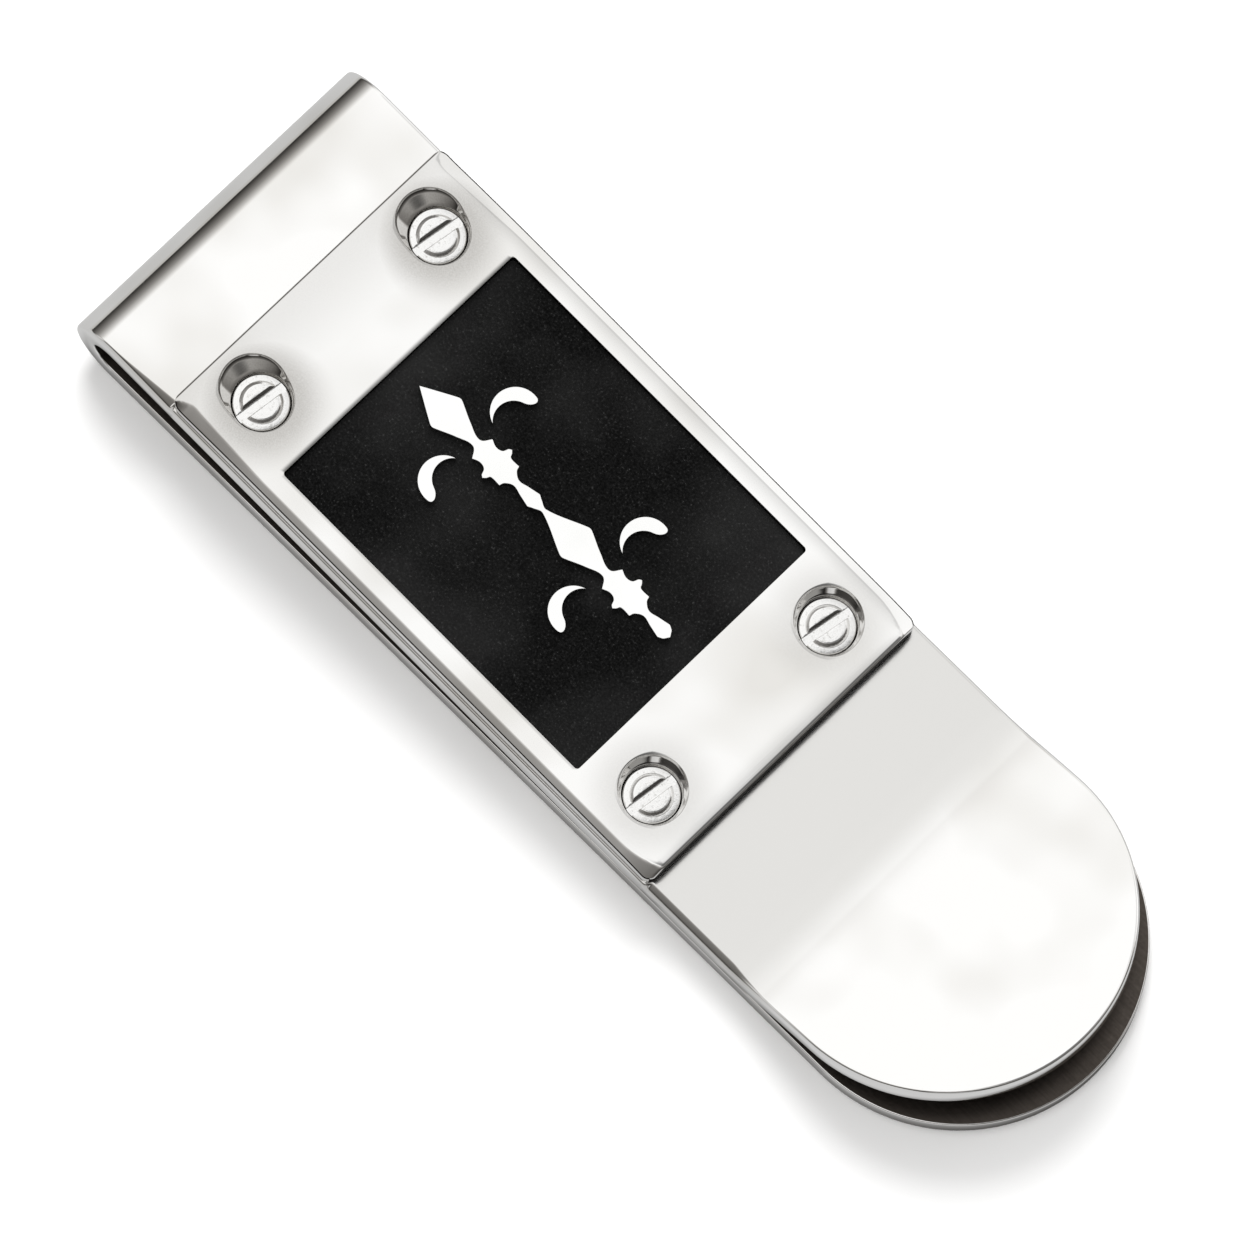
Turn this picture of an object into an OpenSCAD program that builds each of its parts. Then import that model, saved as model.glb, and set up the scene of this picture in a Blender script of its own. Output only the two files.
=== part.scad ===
// Spring money clip: one folded steel strip, a bolted cover plate that frames a black
// inlay panel, a raised finial emblem on the panel, and four slotted screws.
// The clip lies on its back leaf. X runs from the fold to the tongue, Y across, Z up.

/* [Spring strip] */
// Width of the strip, and the diameter of both rounded leaf ends
strip_w = 17.5; // [14:0.5:22]
// Thickness of the strip
strip_t = 1.2; // [0.8:0.1:1.4]
// Clear height inside the fold
fold_gap = 2.2; // [1.8:0.1:3]
// Length from the fold to the tip of the back leaf
back_l = 57.3; // [55:0.1:64]
// Length from the fold to the tip of the front leaf
front_l = 56.7; // [54:0.1:63]
// Where the front leaf stops sloping and lies along the back leaf
settle_x = 37; // [36.5:0.5:40]
// Where the tongue turns up, the grip line of the clip
kink_x = 43.4; // [42:0.2:45]
// Gap left between the leaves along the grip line
rest_gap = 0.1; // [0.05:0.05:0.3]
// Slope of the tongue where it leaves the grip line, in degrees
tongue_rise = 16; // [8:1:20]
// Slope of the tongue at its tip, in degrees
tongue_end = 3; // [0:1:6]

/* [Cover plate] */
// Length of the plate along the front leaf
plate_l = 31; // [30:0.5:32]
// Width of the plate
plate_w = 17.3; // [17:0.1:17.5]
// Thickness of the plate
plate_t = 1.2; // [1:0.1:1.6]
// Distance along the leaf from the end of the fold to the plate
plate_start = 3.65; // [3:0.05:4]
// Bevel around the top of the plate
plate_bevel = 0.45; // [0.2:0.05:0.5]
// Radius of the plate's corners
plate_corner = 0.5; // [0.2:0.1:1]
// Length of the window in the plate
window_l = 19.1; // [18:0.1:20]
// Width of the window in the plate
window_w = 14.8; // [12:0.1:15]
// Radius of the window's corners
window_corner = 0.3; // [0.2:0.05:0.6]

/* [Inlay panel] */
// How far the panel's flange reaches under the plate on each side
flange_lip = 0.6; // [0.3:0.1:0.7]
// Thickness of the flange
flange_t = 0.4; // [0.3:0.05:0.5]
// Depth of the panel's face below the face of the plate
panel_recess = 0.3; // [0.2:0.05:0.4]
// Space around the panel's raised field inside the window
panel_clear = 0.05; // [0.02:0.01:0.1]

/* [Emblem] */
// Distance between the two finials of the stem
finial_pitch = 8.42; // [8.3:0.02:8.6]
// How far the first point of the stem lies behind the middle of the window
stem_reach = 8.17; // [8:0.01:8.3]
// Radius of the outer edge of a crescent
crescent_r = 1.19; // [1.1:0.01:1.25]
// Radius of the hollow of a crescent
crescent_hollow_r = 0.98; // [0.94:0.01:1]
// Radius of the pegs behind the emblem's pieces
peg_r = 0.16; // [0.12:0.01:0.18]

/* [Screws] */
// Distance between the screws along the clip
screw_pitch_x = 25.3; // [25:0.1:26]
// Distance between the screws across the clip
screw_pitch_y = 11.3; // [10.5:0.1:12]
// Diameter of a screw head
head_d = 2.65; // [2.4:0.05:2.8]
// Height of a screw head
head_h = 0.45; // [0.4:0.05:0.5]
// How far the top of a screw head lies below the face of the plate
head_sink = 0.35; // [0.2:0.05:0.45]
// Width of the flat ring around the raised middle of a head
head_ring = 0.32; // [0.2:0.02:0.4]
// Height of the raised middle of a head above its ring
head_rise = 0.14; // [0.1:0.02:0.2]
// Width of the screwdriver slot
slot_w = 0.42; // [0.3:0.02:0.5]
// Depth of the screwdriver slot
slot_depth = 0.28; // [0.2:0.02:0.35]
// Diameter of the dished rim around a head, in the face of the plate
dish_d = 3.3; // [3:0.1:3.6]
// Depth of the dished rim
dish_depth = 0.45; // [0.3:0.05:0.5]
// Diameter of a screw's shank
shank_d = 1.2; // [1:0.1:1.4]

/* [Hidden] */
$fn = 64;

steel = [0.86, 0.86, 0.85];
bright_steel = [0.93, 0.93, 0.92];
black_plating = [0.05, 0.05, 0.05];

cut = 0.01;                      // how far a cutter runs past the face it opens
inner_r = fold_gap / 2;          // radius inside the fold
outer_r = inner_r + strip_t;     // radius outside the fold
mid_x = back_l / 2;              // middle of the clip's length, over the origin
under_z = strip_t + rest_gap;    // underside of the front leaf along the grip line

// The front leaf leaves the fold as a tangent that comes down to the grip line.
run_x = settle_x - outer_r;
run_z = under_z - outer_r;
lean = asin(inner_r / norm([run_x, run_z])) - atan2(run_z, run_x);

// The tongue is a shallow arch, steep at the grip line and almost level at its tip.
tongue_r = (front_l - kink_x) / (sin(tongue_rise) - sin(tongue_end));
tongue_steps = 10;
tongue_over = 1;                 // the arch runs on past the tip before the tip is cut round

// Sizes of the pocket, the panel and the screws' seats, from the leaf's top face up
field_t = plate_t - panel_recess;
seat_z = plate_t - head_sink - head_h;
seat_d = head_d + 0.16;          // counterbore that a head sits in
shank_clear = 0.05;              // space around a shank in the plate
shank_end = 0.1;                 // the shank stops this far above the leaf's underside
disc_d = head_d - 2 * head_ring; // raised middle of a head, at its foot
slot_bar_l = head_d + 1;
peg_l = field_t - 0.2;
peg_xs = [-6.4, -3.15, 2, 5.3];  // pegs of the stem, along the clip
crescent_at = [4.23, 2.31];      // middle of the crescents' outer edge, from the stem's finials
hollow_at = [3.97, 1.94];        // middle of the crescents' hollow
crescent_peg = [4.72, 3.01];     // peg of a crescent, under its thickest stretch
crescent_cut_deg = 83;           // direction of the blunt end, as seen from the hollow

// Half outline of one finial: a spearhead, a collar with three barbs, and a small lozenge.
// Each point is [distance behind the spear's point, half width].
spear = [[0, 0], [1.75, 0.98], [2.88, 0.47], [3.71, 0.22]];
collar = [
    [4.1, 0.66], [4.46, 0.52], [4.79, 0.59], [4.93, 0.87], [5.07, 0.96],
    [5.21, 0.82], [5.31, 0.65], [5.86, 0.64], [5.94, 0.41], [6.31, 0.18]
];
lozenge = [[6.82, 0.28], [7.43, 0.41], [7.68, 0.28]];
neck = [8.13, 0.12];             // joins the first finial to the second
last_tip = [7.86, 0];

// Points of an outline moved along the clip
function shifted(points, x) = [for (p = points) [p[0] + x, p[1]]];

// Half outline of the whole stem, and the outline closed by its mirror image
stem_side = concat(
    spear, collar, lozenge, [neck],
    shifted([spear[1], spear[2], spear[3]], finial_pitch),
    shifted(collar, finial_pitch), shifted(lozenge, finial_pitch),
    shifted([last_tip], finial_pitch)
);
stem_last = len(stem_side) - 1;
stem_outline = concat(stem_side, [for (i = [stem_last - 1:-1:1]) [stem_side[i][0], -stem_side[i][1]]]);

// Underside of the front leaf, from the fold to past the tip: [x, z] and the slope after it
leaf_under = concat(
    [[outer_r + inner_r * sin(lean), outer_r + inner_r * cos(lean), -lean],
     [settle_x, under_z, 0],
     [kink_x, under_z, tongue_rise]],
    [for (i = [1:tongue_steps])
        let (a = tongue_rise + (tongue_end - tongue_rise) * i / tongue_steps)
        [kink_x + tongue_r * (sin(tongue_rise) - sin(a)),
         under_z + tongue_r * (cos(a) - cos(tongue_rise)), a]],
    [[front_l + tongue_over * cos(tongue_end),
      under_z + tongue_r * (cos(tongue_end) - cos(tongue_rise)) + tongue_over * sin(tongue_end),
      tongue_end]]
);

// The matching point on the top of the leaf, on the mitre between two slopes
function leaf_top(i) =
    let (p = leaf_under[i], before = leaf_under[max(i - 1, 0)][2], after = p[2],
         a = i == 0 ? after : (before + after) / 2,
         reach = strip_t / cos(i == 0 ? 0 : (after - before) / 2))
    [p[0] - reach * sin(a), p[1] + reach * cos(a)];

// Plan outline of a leaf that ends in a half circle at tip_x
module leaf_plan(start_x, tip_x) {
    translate([start_x, -strip_w / 2])
        square([tip_x - strip_w / 2 - start_x, strip_w]);
    translate([tip_x - strip_w / 2, 0])
        circle(d = strip_w, $fn = 160);
}

// Puts children on the sloping face of the front leaf, measured from the end of the fold
module on_leaf() {
    translate([outer_r - mid_x, 0, outer_r])
        rotate([0, lean, 0])
            translate([0, 0, outer_r])
                children();
}

// Puts children at the middle of the cover plate, on the face of the front leaf
module on_plate() {
    on_leaf()
        translate([plate_start + plate_l / 2, 0, 0])
            children();
}

// Rectangle with round corners, centred
module rounded(l, w, r) {
    square([l - 2 * r, w], center = true);
    square([l, w - 2 * r], center = true);
    for (x = [-1, 1], y = [-1, 1])
        translate([x * (l / 2 - r), y * (w / 2 - r)])
            circle(r = r, $fn = 32);
}

// The four screw positions at once
module at_screws() {
    for (x = [-1, 1], y = [-1, 1])
        at_screw(x, y)
            children();
}

// One screw position
module at_screw(x, y) {
    on_plate()
        translate([x * screw_pitch_x / 2, y * screw_pitch_y / 2, 0])
            children();
}

module back_leaf() {
    color(steel)
        translate([-mid_x, 0, 0])
            linear_extrude(strip_t)
                leaf_plan(outer_r, back_l);
}

module fold_bend() {
    color(steel)
        translate([outer_r - mid_x, 0, outer_r])
            rotate([90, 0, 0])
                rotate([0, 0, 90 - lean])
                    rotate_extrude(angle = 180 + lean, $fn = 96)
                        translate([inner_r, -strip_w / 2])
                            square([strip_t, strip_w]);
}

module front_leaf() {
    last = len(leaf_under) - 1;
    profile = concat(
        [for (p = leaf_under) [p[0], p[1]]],
        [for (i = [last:-1:0]) leaf_top(i)]
    );
    color(steel)
        difference() {
            translate([-mid_x, 0, 0])
                intersection() {
                    rotate([90, 0, 0])
                        linear_extrude(strip_w, center = true)
                            polygon(profile);
                    linear_extrude(4 * outer_r)
                        leaf_plan(0, front_l);
                }
            at_screws()
                translate([0, 0, -strip_t - 1])
                    cylinder(d = shank_d, h = strip_t + 2, $fn = 32);
        }
}

// Solid body of the plate with a bevel around its top
module plate_blank() {
    wall_h = plate_t - plate_bevel;
    hull() {
        linear_extrude(wall_h)
            rounded(plate_l, plate_w, plate_corner);
        linear_extrude(plate_t)
            rounded(plate_l - 2 * plate_bevel, plate_w - 2 * plate_bevel, plate_corner);
    }
}

module cover_plate() {
    color(steel)
        difference() {
            on_plate()
                difference() {
                    plate_blank();
                    translate([0, 0, -cut])
                        linear_extrude(plate_t + 1)
                            rounded(window_l, window_w, window_corner);
                    translate([0, 0, -cut])
                        linear_extrude(flange_t + cut)
                            square([window_l + 2 * flange_lip, window_w + 2 * flange_lip], center = true);
                }
            at_screws() {
                translate([0, 0, -cut])
                    cylinder(d = shank_d + 2 * shank_clear, h = plate_t + 1, $fn = 32);
                translate([0, 0, seat_z])
                    cylinder(d = seat_d, h = plate_t, $fn = 64);
                translate([0, 0, plate_t - dish_depth])
                    cylinder(d1 = seat_d, d2 = dish_d, h = dish_depth, $fn = 64);
                translate([0, 0, plate_t - cut])
                    cylinder(d = dish_d, h = 1, $fn = 64);
            }
        }
}

module inlay_panel() {
    color(black_plating)
        on_plate()
            difference() {
                union() {
                    linear_extrude(flange_t)
                        square([window_l + 2 * flange_lip - 2 * panel_clear,
                                window_w + 2 * flange_lip - 2 * panel_clear], center = true);
                    linear_extrude(field_t)
                        rounded(window_l - 2 * panel_clear, window_w - 2 * panel_clear,
                                window_corner - panel_clear);
                }
                for (x = peg_xs)
                    translate([x, 0, field_t - peg_l])
                        cylinder(r = peg_r, h = peg_l + 1, $fn = 24);
                for (finial = [0, 1], side = [-1, 1])
                    translate([finial * finial_pitch - crescent_peg[0], side * crescent_peg[1], field_t - peg_l])
                        cylinder(r = peg_r, h = peg_l + 1, $fn = 24);
            }
}

module emblem_stem() {
    color(bright_steel)
        on_plate() {
            translate([-stem_reach, 0, field_t])
                linear_extrude(panel_recess)
                    polygon(stem_outline);
            for (x = peg_xs)
                translate([x, 0, field_t - peg_l])
                    cylinder(r = peg_r, h = peg_l + cut, $fn = 24);
        }
}

// Crescent beside a finial: finial 0 is nearer the fold, side is -1 or 1 across the clip
module crescent(finial, side) {
    color(bright_steel)
        on_plate()
            translate([finial * finial_pitch, 0, 0])
                mirror([0, side < 0 ? 1 : 0, 0]) {
                    translate([0, 0, field_t])
                        linear_extrude(panel_recess)
                            difference() {
                                translate([-crescent_at[0], crescent_at[1]])
                                    circle(r = crescent_r, $fn = 64);
                                translate([-hollow_at[0], hollow_at[1]])
                                    circle(r = crescent_hollow_r, $fn = 64);
                                translate([-hollow_at[0], hollow_at[1]])
                                    rotate(crescent_cut_deg - 90)
                                        square([2 * crescent_r, 2 * crescent_r]);
                            }
                    translate([-crescent_peg[0], crescent_peg[1], field_t - peg_l])
                        cylinder(r = peg_r, h = peg_l + cut, $fn = 24);
                }
}

// Slotted screw: ringed head sunk in the plate's counterbore, shank threaded into the leaf
module screw(x, y) {
    color(bright_steel)
        at_screw(x, y)
            difference() {
                union() {
                    translate([0, 0, seat_z])
                        cylinder(d = head_d, h = head_h - head_rise, $fn = 64);
                    translate([0, 0, seat_z + head_h - head_rise])
                        cylinder(d1 = disc_d, d2 = disc_d - 2 * head_rise, h = head_rise, $fn = 64);
                    translate([0, 0, shank_end - strip_t])
                        cylinder(d = shank_d, h = strip_t - shank_end + seat_z + cut, $fn = 32);
                }
                translate([-slot_w / 2, -slot_bar_l / 2, seat_z + head_h - slot_depth])
                    cube([slot_w, slot_bar_l, slot_depth + 1]);
            }
}

back_leaf();
fold_bend();
front_leaf();
cover_plate();
inlay_panel();
emblem_stem();
crescent(0, 1);  // crescent_rear_left
crescent(0, -1);  // crescent_rear_right
crescent(1, 1);  // crescent_front_left
crescent(1, -1);  // crescent_front_right
screw(-1, 1);  // screw_rear_left
screw(-1, -1);  // screw_rear_right
screw(1, 1);  // screw_front_left
screw(1, -1);  // screw_front_right
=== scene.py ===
import math

import bmesh
import bpy
from mathutils import Matrix, Vector


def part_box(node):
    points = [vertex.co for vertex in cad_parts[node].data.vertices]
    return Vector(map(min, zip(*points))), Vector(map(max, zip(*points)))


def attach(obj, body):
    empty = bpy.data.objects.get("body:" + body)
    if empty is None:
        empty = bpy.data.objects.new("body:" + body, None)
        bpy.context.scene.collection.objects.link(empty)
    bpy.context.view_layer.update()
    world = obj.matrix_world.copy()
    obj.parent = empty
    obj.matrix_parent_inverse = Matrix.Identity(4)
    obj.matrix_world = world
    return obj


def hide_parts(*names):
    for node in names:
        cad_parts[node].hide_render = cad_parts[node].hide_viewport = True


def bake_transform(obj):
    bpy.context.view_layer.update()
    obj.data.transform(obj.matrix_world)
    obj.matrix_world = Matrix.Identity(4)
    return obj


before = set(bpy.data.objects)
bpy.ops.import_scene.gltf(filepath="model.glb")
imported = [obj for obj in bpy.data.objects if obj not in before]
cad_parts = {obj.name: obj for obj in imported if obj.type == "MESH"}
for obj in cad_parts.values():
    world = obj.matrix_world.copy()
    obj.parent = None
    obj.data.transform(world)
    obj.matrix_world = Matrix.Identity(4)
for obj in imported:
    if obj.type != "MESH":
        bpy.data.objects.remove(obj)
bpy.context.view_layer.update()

# The clip is made in millimetres in the frame's own axes: X from the fold to the tongue,
# Y across, Z up. One millimetre in Blender's metres:
MM = 0.001


# ---------------------------------------------------------------- sizes from the frame

def box_mm(node):
    """Lowest and highest corner of a CAD node, in millimetres."""
    lo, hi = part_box(node)
    return lo / MM, hi / MM


back_lo, back_hi = box_mm("back_leaf")
front_lo, front_hi = box_mm("front_leaf")
half_w = back_hi.y
strip_t = back_hi.z
fold_x = -back_hi.x
outer_r = back_lo.x - fold_x
inner_r = outer_r - strip_t
under_z = front_lo.z

# The front leaf's lowest stretch, where it grips, runs from settle_x to kink_x
grip_xs = [v.co.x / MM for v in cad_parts["front_leaf"].data.vertices
           if v.co.z / MM < under_z + 0.001]
settle_x = min(grip_xs) - fold_x
kink_x = max(grip_xs) - fold_x
front_tip = front_hi.x - fold_x
back_tip = back_hi.x - fold_x

TONGUE_RISE = math.radians(16)  # slope of the tongue where it leaves the grip line
TONGUE_END = math.radians(3)    # and at its tip

# Lean of the front leaf, which runs straight from the end of the fold to the grip line
run_x = settle_x - outer_r
run_z = under_z - outer_r
lean = math.asin(inner_r / math.hypot(run_x, run_z)) - math.atan2(run_z, run_x)

# Frame of the front leaf's top face: X along the leaf from the end of the fold, Z out of it
leaf_frame = (
    Matrix.Translation((fold_x + outer_r, 0, outer_r))
    @ Matrix.Rotation(lean, 4, "Y")
    @ Matrix.Translation((0, 0, outer_r))
)


def local_points(node, frame_matrix):
    """Vertices of a CAD node in another frame, in millimetres."""
    inverse = frame_matrix.inverted()
    return [inverse @ (v.co / MM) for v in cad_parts[node].data.vertices]


def spans(points):
    """Lowest and highest corner of some points."""
    return (Vector([min(p[i] for p in points) for i in range(3)]),
            Vector([max(p[i] for p in points) for i in range(3)]))


plate_lo, plate_hi = spans(local_points("cover_plate", leaf_frame))
plate_frame = leaf_frame @ Matrix.Translation(((plate_lo.x + plate_hi.x) / 2, 0, 0))
plate_half_l = (plate_hi.x - plate_lo.x) / 2
plate_half_w = plate_hi.y
plate_t = plate_hi.z

panel_points = local_points("inlay_panel", plate_frame)
flange_hi = spans(panel_points)[1]
field_t = flange_hi.z
field_hi = spans([p for p in panel_points if p.z > field_t - 0.01])[1]
flange_t = min(p.z for p in panel_points if p.z > 0.001)
PANEL_CLEAR = 0.05      # clearance round the inlay panel in the plate
window_half_l = field_hi.x + PANEL_CLEAR
window_half_w = field_hi.y + PANEL_CLEAR
pocket_half_l = flange_hi.x + PANEL_CLEAR
pocket_half_w = flange_hi.y + PANEL_CLEAR

SCREWS = ["screw_rear_left", "screw_rear_right", "screw_front_left", "screw_front_right"]


def middle(node, frame_matrix):
    """Middle of a CAD node in another frame, in millimetres."""
    lo, hi = spans(local_points(node, frame_matrix))
    return (lo + hi) / 2


screw_at = {name: middle(name, plate_frame) for name in SCREWS}
screw_lo, screw_hi = spans(local_points(SCREWS[0], plate_frame))
head_r = (screw_hi.y - screw_lo.y) / 2
head_top = screw_hi.z
shank_bottom = screw_lo.z
SHANK_R = 0.6
SEAT_Z = 0.4            # height of the ledge that a screw's head sits on
RING_Z = 0.71           # height of the flat ring round the middle of a head


# ---------------------------------------------------------------- materials

def fill(tree, node, inputs):
    """Sets a node's inputs to values, or links them to sockets."""
    for name, value in inputs.items():
        if isinstance(value, bpy.types.NodeSocket):
            tree.links.new(value, node.inputs[name])
        else:
            node.inputs[name].default_value = value


def added(tree, kind, inputs, **settings):
    """New node of a kind, with its settings and inputs."""
    node = tree.nodes.new(kind)
    for name, value in settings.items():
        setattr(node, name, value)
    fill(tree, node, inputs)
    return node


def new_material(name):
    """Empty node material: (material, its node tree, its main shader)."""
    material = bpy.data.materials.new(name)
    material.use_nodes = True
    tree = material.node_tree
    return material, tree, tree.nodes["Principled BSDF"]


def millimetres(tree, stretch=(1, 1, 1)):
    """Object coordinates in millimetres, stretched along each axis."""
    place = added(tree, "ShaderNodeTexCoord", {}).outputs["Object"]
    scale = [s / MM for s in stretch]
    return added(tree, "ShaderNodeMapping", {"Scale": scale, "Vector": place}).outputs["Vector"]


def split(tree, vector):
    """X, Y and Z of a vector."""
    return added(tree, "ShaderNodeSeparateXYZ", {"Vector": vector}).outputs


def noise(tree, vector, scale, detail=3.0, roughness=0.5):
    """Value of a noise texture with so many bumps to a millimetre."""
    inputs = {"Scale": scale, "Detail": detail, "Roughness": roughness, "Vector": vector}
    return added(tree, "ShaderNodeTexNoise", inputs).outputs["Fac"]


def ramp(tree, value, stops):
    """Colour ramp through (position, grey or colour) stops."""
    node = added(tree, "ShaderNodeValToRGB", {"Fac": value})
    elements = node.color_ramp.elements
    while len(elements) < len(stops):
        elements.new(0.5)
    for element, (position, colour) in zip(elements, stops):
        grey = isinstance(colour, (int, float))
        element.position = position
        element.color = (colour, colour, colour, 1) if grey else (*colour, 1)
    return node.outputs["Color"]


def bump(tree, height, strength, distance, under=None):
    """Bump from a height, over another bump if there is one."""
    inputs = {"Strength": strength, "Distance": distance * MM, "Height": height}
    if under is not None:
        inputs["Normal"] = under
    return added(tree, "ShaderNodeBump", inputs).outputs["Normal"]


def maths(tree, operation, a, b=0.0):
    """Result of a maths node on two values or sockets."""
    return added(tree, "ShaderNodeMath", {0: a, 1: b}, operation=operation).outputs["Value"]


def smooth_step(tree, value, start, end, low=0.0, high=1.0):
    """low at start, high at end, with an eased slope between them."""
    inputs = {"Value": value, "From Min": start, "From Max": end, "To Min": low, "To Max": high}
    node = added(tree, "ShaderNodeMapRange", inputs, interpolation_type="SMOOTHSTEP")
    return node.outputs["Result"]


def mixed(tree, factor, a, b, blend="MIX"):
    """Colour between a and b, or another blend of them."""
    inputs = {"Factor": factor, "A": a, "B": b}
    return added(tree, "ShaderNodeMix", inputs, data_type="RGBA", blend_type=blend).outputs["Result"]


def stretch_along(tree, vector, stretch):
    """1 on a stretch of X, with an eased slope to 0 at each end. stretch: where along X it
    starts, is full, starts to fade and ends."""
    start, full, fading, end = stretch
    along = split(tree, vector)["X"]
    begun = smooth_step(tree, along, start, full)
    not_over = smooth_step(tree, along, end, fading)
    return maths(tree, "MULTIPLY", begun, not_over)


SCREW_SHADE_FULL = 1.5       # distance from a screw's middle at which the painted shade on the plate is darkest
SCREW_SHADE_END = 3.6        # and at which it has faded out
FRONT_SCREW_SHADE = 0.45     # strength of the front pair's painted shade, the rear pair's being 1
BAND_SHADE = 0.36      # strength of the faint band of painted shade from one rear screw to the other
BAND_STRETCH = (0.5, 2.0, 2.6, 7.0)     # where that band is, from the plate's fold end


def painted_screw_shade(tree, vector):
    """Mask of the shade painted on the plate: 1 at the rims of the rear screw holes, less at the front
    ones and on the band between the rear ones, fading to 0 on the rest of the plate."""
    most = 0.0
    for at in screw_at.values():
        ends = {0: vector, 1: plate_frame @ Vector((at.x, at.y, plate_t))}
        apart = added(tree, "ShaderNodeVectorMath", ends, operation="DISTANCE").outputs["Value"]
        close = smooth_step(tree, apart, SCREW_SHADE_END, SCREW_SHADE_FULL)
        share = maths(tree, "MULTIPLY", close, 1.0 if at.x < 0 else FRONT_SCREW_SHADE)
        most = maths(tree, "MAXIMUM", share, most)
    rear = plate_lo.x + fold_x
    band = stretch_along(tree, vector, [rear + x for x in BAND_STRETCH])
    return maths(tree, "MAXIMUM", maths(tree, "MULTIPLY", band, BAND_SHADE), most)


DARK_CLOUD = (0.84, 0.83, 0.81)     # share of the steel's colour left in its darker clouds
SATIN_ROUGHNESS = 0.16


def polished_steel(name, colour, smoothest, roughest, cloud=DARK_CLOUD, satin=None, screw_shade_painted=False):
    """Mirror-polished steel: hazy patches, darker clouds, hairlines and faint ripples.
    satin: the stretch along X that notes have rubbed dull, and its tint.
    The last flag says whether shade is painted darker on the plate round the screws and in a band between
    the rear ones."""
    material, tree, shader = new_material(name)
    plain = millimetres(tree)
    hairs = noise(tree, millimetres(tree, (14, 0.5, 14)), 1.0, 2.0)
    haze = noise(tree, plain, 0.35, 4.0, 0.6)
    clouds = noise(tree, plain, 0.12, 2.0, 0.5)
    specks = noise(tree, plain, 16.0, 2.0)
    darker = [c * w for c, w in zip(colour, cloud)]
    tone = ramp(tree, clouds, [(0.38, darker), (0.58, colour)])
    gloss = ramp(tree, haze, [(0.3, smoothest), (0.75, roughest)])
    if satin:
        stretch, tint = satin
        rubbed = stretch_along(tree, plain, stretch)
        mottled = ramp(tree, specks, [(0.3, [t * 0.97 for t in tint]), (0.7, tint)])
        tone = mixed(tree, rubbed, tone, mottled)
        gloss = mixed(tree, rubbed, gloss, (SATIN_ROUGHNESS,) * 3 + (1,))
    # Painted shade: the plate's colour darkened, with a little mottle, round the screws and in a band
    # between the rear ones
    if screw_shade_painted:
        screw_shade_colour = ramp(tree, specks, [(0.3, (0.50, 0.485, 0.465)), (0.7, (0.58, 0.57, 0.55))])
        tone = mixed(tree, painted_screw_shade(tree, plain), tone, screw_shade_colour)
    ripples = bump(tree, specks, 0.125, 0.0012)
    fill(tree, shader, {"Metallic": 1.0, "Base Color": tone, "Roughness": gloss,
                        "Normal": bump(tree, hairs, 0.25, 0.0012, ripples)})
    return material


def shade_painted_steel(name, darkest, lightest, at_a_slant=1.0):
    """Dull, unpolished steel whose brownish colour is darkened far below real steel's as painted shade.
    at_a_slant: how much of its shine is left where it is seen at a slant."""
    material, tree, shader = new_material(name)
    streaks = noise(tree, millimetres(tree, (0.6, 9, 9)), 1.0, 3.0)
    specks = noise(tree, millimetres(tree), 8.0, 3.0, 0.6)
    fill(tree, shader, {
        "Metallic": 1.0,
        "Specular Tint": (at_a_slant, at_a_slant, at_a_slant, 1),
        "Base Color": ramp(tree, streaks, [(0.3, darkest), (0.7, lightest)]),
        "Roughness": ramp(tree, specks, [(0.3, 0.3), (0.8, 0.5)]),
        "Normal": bump(tree, specks, 0.3, 0.006),
    })
    return material


def screw_steel(name):
    """Polished steel with a fine grain, and small dents from screwdrivers."""
    material, tree, shader = new_material(name)
    plain = millimetres(tree)
    dents = noise(tree, plain, 5.5, 4.0, 0.65)
    fine = noise(tree, plain, 18.0, 2.0)
    fill(tree, shader, {
        "Metallic": 1.0,
        "Base Color": ramp(tree, dents, [(0.31, (0.64, 0.63, 0.61)), (0.43, (0.90, 0.895, 0.885))]),
        "Roughness": ramp(tree, fine, [(0.3, 0.08), (0.8, 0.24)]),
        "Normal": bump(tree, fine, 0.3, 0.003, bump(tree, dents, 0.25, 0.02)),
    })
    return material


def black_plating(name):
    """Satin black plating: near black, with a fine grain and faint clouds."""
    material, tree, shader = new_material(name)
    plain = millimetres(tree)
    clouds = noise(tree, plain, 0.16, 2.0, 0.45)
    grain = noise(tree, plain, 9.0, 3.0, 0.7)
    specks = ramp(tree, grain, [(0.4, 0.0008), (0.62, 0.006), (0.78, 0.05)])
    faint = ramp(tree, clouds, [(0.42, 0.0), (0.75, 0.012)])
    fill(tree, shader, {
        "Base Color": mixed(tree, 1.0, specks, faint, "ADD"),
        "Roughness": ramp(tree, clouds, [(0.35, 0.35), (0.65, 0.5)]),
        "Specular IOR Level": 0.045,
        "Normal": bump(tree, grain, 0.3, 0.01),
    })
    return material


STRIP_STEEL = polished_steel("strip_steel", (0.90, 0.89, 0.875), 0.05, 0.11)
grip_from = fold_x + settle_x
grip_to = fold_x + kink_x
GRIP_STRETCH = (grip_from - 1.5, grip_from, grip_to - 0.6, grip_to + 1.6)
GRIP_TINT = (0.74, 0.732, 0.715)
GRIP_STEEL = polished_steel("grip_steel", (0.93, 0.925, 0.915), 0.05, 0.11,
                            satin=(GRIP_STRETCH, GRIP_TINT))
# Painted shade: the faces of the strip that lie towards the gap between the leaves get this near-black
# steel
SHADE_PAINTED_INNER_STEEL = shade_painted_steel("shade_painted_steel", (0.082, 0.070, 0.061), (0.105, 0.090, 0.079))
# Painted shade: the plate's front wall and the outermost strips of its long edges get this black steel
SHADE_PAINTED_END_STEEL = shade_painted_steel("shade_painted_end_steel", (0.018, 0.015, 0.013), (0.035, 0.030, 0.026), 0.3)
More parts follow.
